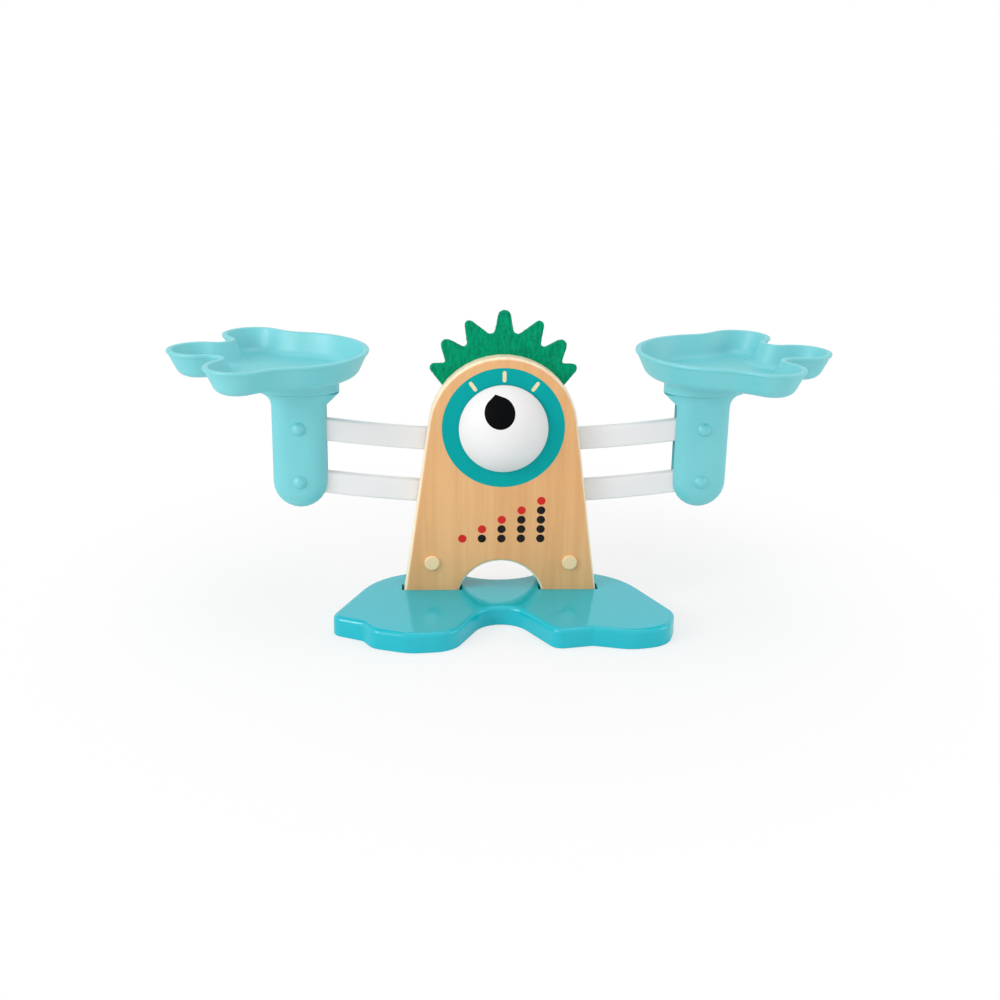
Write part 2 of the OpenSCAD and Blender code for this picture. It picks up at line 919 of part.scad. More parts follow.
// Each notch is an arc that touches two fingers and the notch floor.
notch_inset = finger_r - notch_floor;
notch_reach = (pow(finger_reach, 2) - pow(notch_inset, 2))
    / (2 * (notch_inset + finger_reach * cos(finger_fan / 2)));
notch_r = notch_reach - notch_floor;
function notch(k) = notch_reach * [cos(k * finger_fan / 2), sin(k * finger_fan / 2)];

// The rim as tangent arcs, anticlockwise: [centre, radius, first angle, sweep].
// A negative sweep is a hollow arc, whose centre lies outside the pan.
function bulge(middle, radius, before, after) =
    [middle, radius, heading(middle, before), turned(heading(middle, before), heading(middle, after))];
function hollow(middle, radius, before, after) =
    [middle, radius, heading(middle, before), -turned(heading(middle, after), heading(middle, before))];
rim_arcs = [
    bulge(bowl_centre, bowl_r, blend(1), blend(-1)),
    hollow(blend(-1), blend_r, bowl_centre, finger(-1)),
    bulge(finger(-1), finger_r, blend(-1), notch(-1)),
    hollow(notch(-1), notch_r, finger(-1), finger(0)),
    bulge(finger(0), finger_r, notch(-1), notch(1)),
    hollow(notch(1), notch_r, finger(0), finger(1)),
    bulge(finger(1), finger_r, notch(1), blend(1)),
    hollow(blend(1), blend_r, finger(1), bowl_centre)
];

function side_of(arc) = arc[3] > 0 ? 1 : -1;
function arc_points(arc, inset) =
    let (steps = arc_steps(arc[1], arc[3]))
    [for (i = [0 : steps - 1]) arc[0] + (arc[1] - side_of(arc) * inset)
        * [cos(arc[2] + arc[3] * i / steps), sin(arc[2] + arc[3] * i / steps)]];
function rim_points(inset) = [for (arc = rim_arcs) each arc_points(arc, inset)];

// Section of the wall, from under the floor over the rim to the top of the floor,
// as [inset from the rim, height, radius, steps] corners.
wall_foot = rim_bead + pan_lean;
wall_run = wall_foot + pan_fillet + 1;
wall_corners = [
    [wall_run, 0, 0, 0],
    [wall_foot, 0, pan_fillet, 4],
    [rim_bead, pan_depth - rim_h, rim_bead / 2, 1],
    [0, pan_depth - rim_h + rim_bead, rim_bead / 2, 1],
    [0, pan_depth, pan_wall / 3, 2],
    [rim_bead + pan_wall, pan_depth, pan_wall / 3, 2],
    [wall_foot + pan_wall, pan_wall, pan_fillet - pan_wall, 3],
    [wall_run, pan_wall, 0, 0]
];

// An oval section of the pan foot, drawn in by inset and seen from above.
function foot_oval(inset) =
    let (steps = 40)
    [for (i = [0 : steps - 1])
        let (a = 360 * i / steps)
        [(foot_half - inset) * cos(a), (foot_d / 2 - inset) * sin(a)]];

// The foot of a pan with the socket for the tongues of the column.
module pan_foot() {
    socket_w = tongue_w + 2 * tongue_fit;
    socket_d = tongue_d + 2 * tongue_fit;
    difference() {
        skin([
            lifted(foot_oval(seam), 0),
            lifted(foot_oval(0), seam),
            lifted(foot_oval(0), foot_h + pan_wall / 2)
        ]);
        translate([-socket_w / 2, -socket_d / 2, -over])
            cube([socket_w, socket_d, tongue_h + tongue_fit + over]);
    }
}

module pan(side) {
    color(aqua)
    on_side(side) at_column() {
        translate([pan_offset, 0, pan_floor_z])
            skin([for (p = outline(wall_corners)) lifted(rim_points(p[0]), p[1])]);
        translate([0, 0, column_top]) pan_foot();
    }
}

module left_pan() {
    pan("left");
}

module right_pan() {
    pan("right");
}

base_board();
base_screws();
front_panel();
rear_panel();
left_leg_spacer();
right_leg_spacer();
leg_pegs();
top_spacer();
felt_crest();
crest_screws();
axle_bushes();
lower_axle();
lower_washers();
upper_beam();
eye_axle();
eye_dome();
eye_pointer();
eye_axle_cap();
lower_beam();
left_column_front();
left_column_rear();
left_pins();
left_pan();
right_column_front();
right_column_rear();
right_pins();
right_pan();
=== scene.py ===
"""Looks of a wooden toy balance scale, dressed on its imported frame.

Each piece of the frame gets a procedural finish. The printed dial, the counting dots, the felt
crest, the skin of the pointer and the screws are pieces of their own that ride on the frame.
"""

import json
import math
import random

import bmesh
import bpy
from bpy.props import FloatProperty, FloatVectorProperty, IntProperty, PointerProperty
from mathutils import Euler, Matrix, Vector, noise
from mathutils.geometry import tessellate_polygon

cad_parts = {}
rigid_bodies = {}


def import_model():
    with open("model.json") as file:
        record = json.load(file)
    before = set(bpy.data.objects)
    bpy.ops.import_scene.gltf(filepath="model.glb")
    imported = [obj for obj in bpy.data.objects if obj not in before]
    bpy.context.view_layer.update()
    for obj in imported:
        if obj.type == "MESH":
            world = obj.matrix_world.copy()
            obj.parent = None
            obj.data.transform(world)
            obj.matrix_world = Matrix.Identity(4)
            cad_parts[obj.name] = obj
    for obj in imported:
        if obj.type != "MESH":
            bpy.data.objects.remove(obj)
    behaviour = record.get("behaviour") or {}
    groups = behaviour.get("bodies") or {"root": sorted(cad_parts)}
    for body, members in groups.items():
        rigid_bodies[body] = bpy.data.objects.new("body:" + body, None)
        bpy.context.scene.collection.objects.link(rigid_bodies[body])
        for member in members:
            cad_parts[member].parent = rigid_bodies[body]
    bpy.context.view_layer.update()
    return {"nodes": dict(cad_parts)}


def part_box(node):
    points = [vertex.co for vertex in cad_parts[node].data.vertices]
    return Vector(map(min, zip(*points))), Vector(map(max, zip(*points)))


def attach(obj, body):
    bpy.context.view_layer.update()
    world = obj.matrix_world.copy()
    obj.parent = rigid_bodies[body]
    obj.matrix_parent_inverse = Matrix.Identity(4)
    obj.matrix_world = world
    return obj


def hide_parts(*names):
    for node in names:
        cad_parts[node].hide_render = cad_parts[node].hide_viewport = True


bl_info = {
    "name": "Toy balance scale",
    "version": (1, 0, 0),
    "blender": (4, 5, 0),
    "location": "View3D > Sidebar > Scale",
    "description": "Dresses a wooden toy balance scale and sets up its stage",
    "category": "Object",
}

for leftover in list(bpy.data.objects):
    bpy.data.objects.remove(leftover)

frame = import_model()

MM = 0.001
FRONT_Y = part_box("front_panel")[0][1]
EYE = (Vector(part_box("eye_dome")[0]) + Vector(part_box("eye_dome")[1])) / 2
PEG_LOW, PEG_HIGH = (Vector(corner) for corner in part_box("leg_pegs"))
PEG_RADIUS = (PEG_HIGH.z - PEG_LOW.z) / 2
PEG_X = PEG_HIGH.x - PEG_RADIUS
PEG_Z = PEG_HIGH.z - PEG_RADIUS

# Shading of faceted pieces
SMOOTH_ANGLE = math.radians(50)  # flatter edges are shaded smooth
WELD = 0.005 * MM  # nearer points are joined

# Depth of the relief of the finishes
WOOD_RELIEF = 0.06 * MM
DOWEL_RELIEF = 0.05 * MM
LACQUER_RELIEF = 0.02 * MM
FELT_RELIEF = 0.2 * MM
METAL_RELIEF = 0.01 * MM
INK_RELIEF = 0.04 * MM

# Plastics: second tone, least and most roughness, depth of the relief, specular level
PLASTICS = {
    "aqua": ("aqua_deep", 0.4, 0.48, 0.006 * MM, 1.0),
    "white": ("white_deep", 0.42, 0.5, 0.005 * MM, 0.4),
    "black": ("black_light", 0.3, 0.4, 0.005 * MM, 0.04),
}

# Felt crest
FELT_ROUNDS = 4  # rounds of smoothing
COARSE_LUMPS = 420.0  # scale of the coarse unevenness
FINE_LUMPS = 1100.0  # scale of the fine unevenness
FINE_SHARE = 0.6  # height of the fine unevenness per coarse
FELT_SHARE = 0.92  # thickness per thickness of the CAD crest
FREE_FROM = 46 * MM  # distance from the axis where the fibres begin

# Loose fibres
FIBRE_SEED = 11
FIBRE_STEPS = 4  # segments of a fibre
FIBRE_HALF = 0.035 * MM  # half the thickness
FIBRE_ARCH = 0.28 * MM  # height of the arch
FIBRE_SWAY = 5  # sideways sway per half thickness
FIBRE_WAVES = 3.0  # angle of the sway from end to end
FIBRE_BACK = 0.3  # share of a fibre behind its root
FIBRE_LEAN = 0.4  # spread of the direction through the thickness
FIBRE_SHORT = 0.4  # shortest length per longest

# Screws
ARM_RATIO = 2.6  # reach of a recess arm per width
RECESS_TAPER = 0.7  # width of the recess at its floor per width at its mouth
POINT_LENGTH = 2.4 * MM
HALF_THREAD = 0.4 * MM  # rise of half a thread
ROOT_WIDTH = 0.8  # root of the thread per shank
TIP_WIDTH = 0.1  # tip of the point per shank

# Stage: place and side of each light, and what the lights point at
LAMPS = {
    "key": ((-1.5, -0.8, 0.9), 0.45),
    "wash": ((-1.3, -0.95, 0.7), 1.2),
    "top": ((0.1, 0.0, 1.7), 1.4),
    "fill": ((1.3, -0.15, 0.35), 0.8),
}
AIM = Vector((0, 0, 0.1))
FLOOR_HALF = 12.0  # half the side of the floor
FLOOR_DEPTH = 0.2 * MM  # how far the floor lies below the base
FLOOR_FADE = (0.13, 0.36, 0.62, 1.0)  # two distances, and the share of white at each
WHITE = (1.0, 1.0, 1.0, 1.0)


def srgb(red, green, blue):
    """Turns screen values from 0 to 255 into the linear colour that Blender keeps."""

    def linear(value):
        share = value / 255
        return share / 12.92 if share <= 0.04045 else ((share + 0.055) / 1.055) ** 2.4

    return tuple(linear(value) for value in (red, green, blue))


def colour(label, words, value):
    """A colour property with its default given as screen values."""
    return FloatVectorProperty(
        name=label,
        description=words,
        subtype="COLOR",
        size=3,
        min=0,
        max=1,
        default=srgb(*value),
    )


def length(label, words, value, low=0.0):
    """A length property in metres."""
    return FloatProperty(
        name=label, description=words, unit="LENGTH", default=value, min=low, precision=5
    )


def angle(label, words, degrees):
    """An angle property, with its default given in degrees."""
    return FloatProperty(
        name=label,
        description=words,
        subtype="ANGLE",
        unit="ROTATION",
        default=math.radians(degrees),
    )


def power(label, words, watts):
    """The power of a light in watts."""
    return FloatProperty(name=label, description=words, unit="POWER", default=watts, min=0)


def number(label, words, value, low=0):
    """A property that counts something."""
    return IntProperty(name=label, description=words, default=value, min=low)


# Properties


class ScaleColours(bpy.types.PropertyGroup):
    """Colours of the finishes."""

    lacquer: colour("Lacquer", "Lacquer of the base board", (0, 183, 199))
    lacquer_thin: colour("Thin lacquer", "Lacquer where the grain shows through", (0, 187, 202))
    beech: colour("Beech", "Light wood of the panels", (239, 187, 131))
    beech_dark: colour("Beech grain", "Dark grain of the panels", (223, 163, 107))
    # Panel edge colour: partly the plainer wood of the edges, partly a painted highlight on their
    # round-over
    beech_edge: colour("Panel edge", "Wood of the panel edges", (255, 240, 212))
    pale: colour("Pale wood", "Light wood of the pegs and spacers", (250, 220, 174))
    pale_dark: colour("Pale grain", "Dark grain of the pegs and spacers", (232, 196, 142))
    felt: colour("Felt", "Main colour of the felt", (0, 153, 110))
    felt_light: colour("Felt fibre", "Light fibres of the felt", (22, 171, 126))
    felt_dark: colour("Felt shade", "Shade between the fibres", (0, 128, 89))
    aqua: colour("Aqua", "Plastic of the pans and columns", (112, 206, 213))
    aqua_deep: colour("Deep aqua", "Deeper tone of the aqua plastic", (106, 202, 209))
    white: colour("White", "Plastic of the beams and the dome", (241, 238, 238))
    white_deep: colour("Deep white", "Deeper tone of the white plastic", (237, 234, 235))
    black: colour("Black", "Plastic of the pointer", (4, 6, 8))
    black_light: colour("Light black", "Lighter tone of the black plastic", (8, 10, 12))
    ring: colour("Ring", "Ink of the dial ring", (0, 163, 163))
    ring_thin: colour("Thin ring ink", "Dial ink over the grain", (0, 168, 167))
    tick: colour("Ticks", "Ink of the dial ticks", (243, 228, 186))
    tick_thin: colour("Thin ticks", "Ink of the dial ticks over the grain", (236, 216, 170))
    dot: colour("Dots", "Ink of the counting dots", (26, 25, 24))
    dot_thin: colour("Thin dots", "Ink of the counting dots over the grain", (42, 38, 34))
    top_dot: colour("Top dots", "Ink of the top dot of each column", (214, 44, 40))
    top_dot_thin: colour("Thin top dots", "Ink of the top dots over the grain", (206, 52, 44))
    metal: colour("Metal", "Plating of the screws and axles", (196, 198, 202))
    metal_dark: colour("Dull metal", "Dull parts of the plating", (174, 177, 182))


class ScaleSizes(bpy.types.PropertyGroup):
    """Sizes of the pieces that are added to the frame."""

    ring_radius: length("Ring radius", "Outer radius of the dial ring", 40 * MM)
    ring_inner: length("Ring inner radius", "Inner radius of the dial ring", 24 * MM)
    tick_from: length("Tick start", "Distance from the axis to the start of a tick", 30.6 * MM)
    tick_to: length("Tick end", "Distance from the axis to the end of a tick", 38 * MM)
    tick_width: length("Tick width", "Width of a dial tick", 2.4 * MM)
    tick_step: angle("Tick step", "Angle between the dial ticks", 36)
    dot_radius: length("Dot radius", "Radius of a counting dot", 2.8 * MM)
    dot_column: length("Dot column", "Distance between the columns of dots", 13 * MM)
    dot_row: length("Dot row", "Distance between the rows of dots", 6.6 * MM)
    dots_drop: length("Dots drop", "Distance from the axis down to the lowest dots", 76 * MM)
    dot_columns: number("Dot columns", "Number of columns of dots", 5, 1)
    film: length("Ink thickness", "Thickness of each layer of ink", 0.05 * MM)
    dome_curve: length("Dome curve", "Radius of the sphere that the dome is cut from", 35.5333 * MM)
    pointer_radius: length("Pointer radius", "Radius of the round part of the pointer", 9.8 * MM)
    pointer_mid: length("Pointer middle", "Distance from the axis to the pointer", 13.9 * MM)
    pointer_tip: length("Pointer tip", "Distance from the axis to the tip", 25.12 * MM)
    pointer_turn: angle("Pointer turn", "Turn of the pointer from upright to the left", 14)
    felt_cell: length(
        "Felt cell", "Size of the cells that the felt is modelled in", 0.6 * MM, 0.3 * MM
    )
    felt_lump: length("Felt lumps", "Height of the unevenness of the felt", 0.14 * MM)
    fibre_length: length("Fibre length", "Length of the loose fibres", 2.2 * MM)
    fibre_count: number("Fibres", "Number of loose fibres on the felt", 900)
    recess: length("Recess", "Length of the arms of the screw recess", 2.2 * MM)
    recess_depth: length("Recess depth", "Depth of the screw recess", 1.2 * MM)


class ScaleStage(bpy.types.PropertyGroup):
    """Camera and light."""

    camera_place: FloatVectorProperty(
        name="Camera place",
        description="Where the camera stands",
        subtype="TRANSLATION",
        unit="LENGTH",
        default=(-0.05967, -0.88953, 0.37066),
    )
    camera_turn: FloatVectorProperty(
        name="Camera turn",
        description="How the camera is turned",
        subtype="EULER",
        unit="ROTATION",
        default=tuple(math.radians(value) for value in (71.456, -1.055, -3.456)),
    )
    lens: FloatProperty(
        name="Lens", description="Focal length of the camera", unit="CAMERA", default=50.51
    )
    key: power("Key light", "Power of the light at the left", 5.5)
    wash: power("Wash light", "Power of the wide light at the left", 6.5)
    top: power("Top light", "Power of the light above", 4.4)
    fill: power("Fill light", "Power of the light at the right", 2.8)
    surround: FloatProperty(
        name="Surround", description="Strength of the light from all sides", default=0.72, min=0
    )


# Node trees


class Tree:
    """Adds nodes to one node tree and joins them."""

    def __init__(self, tree):
        self.tree = tree

    def feed(self, socket, value):
        """Links a socket to another, or sets its value."""
        if isinstance(value, bpy.types.NodeSocket):
            self.tree.links.new(value, socket)
        else:
            socket.default_value = value

    def add(self, kind, inputs=None, **settings):
        """A new node with its inputs and settings."""
        node = self.tree.nodes.new(kind)
        for name, value in settings.items():
            setattr(node, name, value)
        for name, value in (inputs or {}).items():
            self.feed(node.inputs[name], value)
        return node

    def math(self, operation, first, second=0.0):
        """The result of one operation."""
        node = self.add("ShaderNodeMath", {0: first, 1: second}, operation=operation)
        return node.outputs[0]

    def root_sum(self, first, second):
        """The length of a flat vector from its two parts."""
        squares = (self.math("POWER", part, 2.0) for part in (first, second))
        return self.math("SQRT", self.math("ADD", *squares))

    def mix(self, share, first, second):
        """A colour between two others."""
        node = self.add("ShaderNodeMix", {0: share, 6: first, 7: second}, data_type="RGBA")
        return node.outputs[2]

    def noise(self, place, scale, detail=2.0, roughness=0.5, distortion=0.0):
        """A value that wanders over the place."""
        values = {
            "Vector": place,
            "Scale": scale,
            "Detail": detail,
            "Roughness": roughness,
            "Distortion": distortion,
        }
        return self.add("ShaderNodeTexNoise", values).outputs[0]

    def band(self, value, low, high, start=0.0, end=1.0):
        """Maps low to high on start to end, with soft ends."""
        values = {"Value": value, "From Min": low, "From Max": high, "To Min": start, "To Max": end}
        return self.add("ShaderNodeMapRange", values, interpolation_type="SMOOTHSTEP").outputs[0]

    def stretched(self, place, scale, turn=(0.0, 0.0, 0.0)):
        """The place, turned and scaled."""
        values = {"Vector": place, "Scale": scale, "Rotation": turn}
        return self.add("ShaderNodeMapping", values).outputs[0]

    def place(self, kind="Object"):
        """The place on the object, or another coordinate."""
        return self.add("ShaderNodeTexCoord").outputs[kind]

    def split(self, vector):
        """The three parts of a vector."""
        return self.add("ShaderNodeSeparateXYZ", {0: vector}).outputs


def new_group(name, inputs, outputs):
    """A shader node group with its sockets: its tree, its input node and its output node."""
    tree = bpy.data.node_groups.new(name, "ShaderNodeTree")
    for label, kind, value in inputs:
        socket = tree.interface.new_socket(name=label, in_out="INPUT", socket_type=kind)
        socket.default_value = value
    for label, kind in outputs:
        tree.interface.new_socket(name=label, in_out="OUTPUT", socket_type=kind)
    helper = Tree(tree)
    return helper, helper.add("NodeGroupInput").outputs, helper.add("NodeGroupOutput").inputs


COLOUR = "NodeSocketColor"
FLOAT = "NodeSocketFloat"
VECTOR = "NodeSocketVector"
GREY = (0.5, 0.5, 0.5, 1.0)
SURFACE = (("Colour", COLOUR), ("Roughness", FLOAT), ("Height", FLOAT))


def kept(build):
    """Makes a node group once and then hands out the same one."""

    def once():
        name = build.__name__
        return bpy.data.node_groups.get(name) or build(name)

    return once


@kept
def wood_figure(name):
    """Upright grain with streaks and pores, and a plainer tone on the cut edges; on the beech that
    edge tone is pale, a painted highlight.
    """
    inputs = (
        ("Light", COLOUR, GREY),
        ("Dark", COLOUR, GREY),
        ("Edge", COLOUR, GREY),
        ("Contrast", FLOAT, 1.0),
    )
    tree, given, out = new_group(name, inputs, SURFACE)
    place = tree.place()
    bend = tree.noise(tree.stretched(place, (1.0, 1.0, 0.3)), scale=14.0)
    parts = tree.split(place)
    bent_x = tree.math("ADD", parts[0], tree.math("MULTIPLY", bend, 0.006))
    bent = tree.add("ShaderNodeCombineXYZ", {0: bent_x, 1: parts[1], 2: parts[2]}).outputs[0]
    drawn = tree.stretched(bent, (1.0, 1.0, 0.035))
    streak = tree.noise(drawn, scale=150.0, detail=5.0, roughness=0.62)
    broad = tree.noise(tree.stretched(bent, (1.0, 1.0, 0.12)), scale=38.0)
    pore = tree.noise(tree.stretched(bent, (1.0, 1.0, 0.03)), scale=1700.0)
    fleck = tree.noise(tree.stretched(bent, (1.0, 1.0, 0.16)), scale=900.0, detail=1.0)
    grain = tree.math(
        "ADD",
        tree.band(streak, 0.34, 0.68, 0.0, 0.62),
        tree.band(broad, 0.35, 0.7, 0.0, 0.38),
    )
    share = tree.math("MULTIPLY", grain, given["Contrast"])
    face = tree.mix(share, given["Light"], given["Dark"])
    face = tree.mix(tree.band(pore, 0.55, 0.78, 0.0, 0.28), face, given["Dark"])
    face = tree.mix(tree.band(fleck, 0.68, 0.8, 0.0, 0.5), face, given["Dark"])
    facing = tree.math("ABSOLUTE", tree.split(tree.place("Normal"))[1])
    # Faces turned away from Y take the edge tone; on the beech panels this is a painted highlight
    # along the rounded edges, over the plainer edge wood
    edge = tree.band(facing, 0.72, 0.995, 1.0, 0.0)
    sawn_and_highlight = tree.mix(tree.band(streak, 0.35, 0.7, 0.0, 0.35), given["Edge"], given["Light"])
    tree.feed(out["Colour"], tree.mix(edge, face, sawn_and_highlight))
    tree.feed(out["Roughness"], tree.band(streak, 0.3, 0.7, 0.42, 0.54))
    tree.feed(out["Height"], tree.math("ADD", pore, tree.math("MULTIPLY", streak, 0.6)))
    return tree.tree


@kept
def dowel_figure(name):
    """Rings on the ends of a dowel that runs along Y, and streaks along its side."""
    inputs = (
        ("Light", COLOUR, GREY),
        ("Dark", COLOUR, GREY),
        ("Axis", VECTOR, (0.0, 0.0, 0.0)),
    )
    tree, given, out = new_group(name, inputs, SURFACE)
    place = tree.place()
    parts = tree.split(place)
    axis = tree.split(given["Axis"])
    across = tree.math("SUBTRACT", tree.math("ABSOLUTE", parts[0]), axis[0])
    rise = tree.math("SUBTRACT", parts[2], axis[2])
    wander = tree.noise(place, scale=160.0)
    skew = tree.math("ADD", across, tree.math("MULTIPLY", wander, 0.003))
    reach = tree.root_sum(skew, rise)
    ring = tree.math("SINE", tree.math("MULTIPLY", reach, 5200.0))
    speck = tree.noise(place, scale=2600.0)
    streak = tree.noise(tree.stretched(place, (1.0, 0.04, 1.0)), scale=900.0, detail=3.0)
    shade = tree.math(
        "ADD", tree.band(ring, -0.2, 1.0, 0.0, 0.35), tree.band(speck, 0.5, 0.75, 0.0, 0.4)
    )
    side = tree.band(tree.math("ABSOLUTE", tree.split(tree.place("Normal"))[1]), 0.3, 0.8, 1.0, 0.0)
    end_tone = tree.mix(shade, given["Light"], given["Dark"])
    side_tone = tree.mix(tree.band(streak, 0.4, 0.75, 0.0, 0.7), given["Light"], given["Dark"])
    tree.feed(out["Colour"], tree.mix(side, end_tone, side_tone))
    tree.feed(out["Roughness"], tree.band(speck, 0.3, 0.7, 0.48, 0.62))
    tree.feed(out["Height"], tree.math("ADD", speck, tree.math("MULTIPLY", ring, 0.15)))
    return tree.tree


@kept
def lacquer_coat(name):
    """Opaque lacquer that lets a little of the board's grain show."""
    inputs = (("Colour", COLOUR, GREY), ("Thin", COLOUR, GREY))
    tree, given, out = new_group(name, inputs, SURFACE)
    place = tree.place()
    grain = tree.noise(tree.stretched(place, (0.05, 1.0, 1.0)), scale=260.0, detail=3.0)
    pool = tree.noise(place, scale=24.0)
    share = tree.math(
        "ADD", tree.band(grain, 0.3, 0.7, 0.0, 0.4), tree.band(pool, 0.3, 0.7, 0.0, 0.6)
    )
    tree.feed(out["Colour"], tree.mix(share, given["Colour"], given["Thin"]))
    tree.feed(out["Roughness"], tree.band(pool, 0.3, 0.7, 0.3, 0.38))
    tree.feed(out["Height"], tree.math("ADD", pool, tree.math("MULTIPLY", grain, 0.1)))
    return tree.tree


@kept
def moulded_skin(name):
    """Moulded plastic with a slow drift of tone and a fine satin grain."""
    inputs = (
        ("Colour", COLOUR, GREY),
        ("Deep", COLOUR, GREY),
        ("Smooth", FLOAT, 0.3),
        ("Rough", FLOAT, 0.4),
    )
    tree, given, out = new_group(name, inputs, SURFACE)
    place = tree.place()
    drift = tree.noise(place, scale=22.0)
    grain = tree.noise(place, scale=2400.0)
    flow = tree.noise(tree.stretched(place, (1.0, 1.0, 0.3)), scale=120.0)
    share = tree.math(
        "ADD", tree.band(drift, 0.3, 0.7, 0.0, 0.7), tree.band(grain, 0.35, 0.7, 0.0, 0.3)
    )
    tree.feed(out["Colour"], tree.mix(share, given["Colour"], given["Deep"]))
    spread = tree.math("SUBTRACT", given["Rough"], given["Smooth"])
    tone = tree.math("MULTIPLY", tree.band(flow, 0.3, 0.7), spread)
    tree.feed(out["Roughness"], tree.math("ADD", given["Smooth"], tone))
    tree.feed(out["Height"], grain)
    return tree.tree


@kept
def felt_fibres(name):
    """Pressed wool: fibres that lie mostly upright and cross at shallow angles."""
    inputs = (("Colour", COLOUR, GREY), ("Light", COLOUR, GREY), ("Dark", COLOUR, GREY))
    tree, given, out = new_group(name, inputs, SURFACE)
    place = tree.place()
    layers = []
    for turn in (-24.0, 7.0, 38.0):
        laid = tree.stretched(place, (1.0, 1.0, 0.14), (0.0, math.radians(turn), 0.0))
        layers.append(tree.noise(laid, scale=1500.0, detail=3.0, roughness=0.6, distortion=0.6))
    strand = tree.math("MAXIMUM", layers[0], tree.math("MAXIMUM", layers[1], layers[2]))
    mat = tree.noise(tree.stretched(place, (1.0, 1.0, 0.25)), scale=800.0)
    shaded = tree.mix(tree.band(mat, 0.36, 0.6, 0.85, 0.0), given["Colour"], given["Dark"])
    lit = tree.mix(tree.band(strand, 0.54, 0.76, 0.0, 0.7), shaded, given["Light"])
    tree.feed(out["Colour"], lit)
    tree.feed(out["Roughness"], tree.band(mat, 0.3, 0.7, 0.86, 0.98))
    tree.feed(out["Height"], tree.math("ADD", strand, mat))
    return tree.tree


@kept
def ink_layer(name):
    """A layer of ink on upright grain, thin along the streaks."""
    inputs = (("Colour", COLOUR, GREY), ("Thin", COLOUR, GREY))
    tree, given, out = new_group(name, inputs, SURFACE)
    place = tree.place()
    drawn = tree.stretched(place, (1.0, 1.0, 0.04))
    streak = tree.noise(drawn, scale=420.0, detail=4.0, roughness=0.6)
    speck = tree.noise(place, scale=1900.0)
    share = tree.math(
        "ADD", tree.band(streak, 0.4, 0.7, 0.0, 0.75), tree.band(speck, 0.6, 0.8, 0.0, 0.25)
    )
    tree.feed(out["Colour"], tree.mix(share, given["Colour"], given["Thin"]))
    tree.feed(out["Roughness"], tree.band(streak, 0.3, 0.7, 0.4, 0.52))
    tree.feed(out["Height"], tree.math("ADD", streak, tree.math("MULTIPLY", speck, 0.4)))
    return tree.tree


@kept
def plated_metal(name):
    """Zinc plating with turned lines and dull patches."""
    inputs = (("Colour", COLOUR, GREY), ("Dull", COLOUR, GREY))
    tree, given, out = new_group(name, inputs, SURFACE)
    place = tree.place()
    patch = tree.noise(place, scale=300.0)
    line = tree.noise(tree.stretched(place, (1.0, 0.06, 1.0)), scale=2600.0)
    tree.feed(out["Colour"], tree.mix(tree.band(patch, 0.35, 0.7), given["Colour"], given["Dull"]))
    tree.feed(out["Roughness"], tree.band(patch, 0.3, 0.7, 0.26, 0.34))
    tree.feed(out["Height"], line)
    return tree.tree


def finish(name, group, values, bump, constants=None):
    """A material whose colour, roughness and relief come from one of the groups."""
    known = bpy.data.materials.get(name)
    if known:
        return known
    material = bpy.data.materials.new(name)
    material.use_nodes = True
    tree = Tree(material.node_tree)
    shader = material.node_tree.nodes["Principled BSDF"]
    look = tree.add("ShaderNodeGroup", node_tree=group)
    for label, value in values.items():
        tree.feed(look.inputs[label], value)
    relief = tree.add(
        "ShaderNodeBump", {"Height": look.outputs["Height"], "Strength": 1.0, "Distance": bump}
    )
    tree.feed(shader.inputs["Base Color"], look.outputs["Colour"])
    tree.feed(shader.inputs["Roughness"], look.outputs["Roughness"])
    tree.feed(shader.inputs["Normal"], relief.outputs["Normal"])
    for label, value in (constants or {}).items():
        shader.inputs[label].default_value = value
    return material


def opaque(value):
    """A colour property as a socket takes it."""
    return (*value, 1.0)


def beech_finish(context):
    """Beech of the panels."""
    tones = context.scene.scale_colours
    values = {
        "Light": opaque(tones.beech),
        "Dark": opaque(tones.beech_dark),
        # Pale edge tone: a painted highlight on the rounded panel edges, over the plainer edge wood
        "Edge": opaque(tones.beech_edge),
        "Contrast": 0.8,
    }
    return finish("beech_panel", wood_figure(), values, WOOD_RELIEF, {"Specular IOR Level": 0.25})


def pale_finish(context):
    """Pale wood of the spacers."""
    tones = context.scene.scale_colours
    values = {
        "Light": opaque(tones.pale),
        "Dark": opaque(tones.pale_dark),
        "Edge": opaque(tones.pale),
        "Contrast": 0.6,
    }
    return finish("pale_block", wood_figure(), values, WOOD_RELIEF)


def dowel_finish(context):
    """Pale wood of the pegs."""
    tones = context.scene.scale_colours
    values = {
        "Light": opaque(tones.pale),
        "Dark": opaque(tones.pale_dark),
        "Axis": (PEG_X, 0.0, PEG_Z),
    }
    return finish("dowel_wood", dowel_figure(), values, DOWEL_RELIEF)


def lacquer_finish(context):
    """Lacquer of the base board."""
    tones = context.scene.scale_colours
    values = {"Colour": opaque(tones.lacquer), "Thin": opaque(tones.lacquer_thin)}
    shine = {
        "Specular IOR Level": 0.0,
        "Coat Weight": 1.0,
        "Coat Roughness": 0.08,
        "Coat IOR": 1.52,
    }
    return finish("base_lacquer", lacquer_coat(), values, LACQUER_RELIEF, shine)


def plastic_finish(context, name):
    """Moulded plastic of one of the three colours."""
    tones = context.scene.scale_colours
    deep, smooth, rough, relief, level = PLASTICS[name]
    values = {
        "Colour": opaque(getattr(tones, name)),
        "Deep": opaque(getattr(tones, deep)),
        "Smooth": smooth,
        "Rough": rough,
    }
    shine = {"Specular IOR Level": level}
    return finish(f"{name}_moulding", moulded_skin(), values, relief, shine)


def felt_finish(context):
    """Felt of the crest."""
    tones = context.scene.scale_colours
    values = {
        "Colour": opaque(tones.felt),
        "Light": opaque(tones.felt_light),
        "Dark": opaque(tones.felt_dark),
    }
    fuzz = {"Sheen Weight": 0.04, "Sheen Roughness": 0.5, "Specular IOR Level": 0.05}
    return finish("crest_felt", felt_fibres(), values, FELT_RELIEF, fuzz)


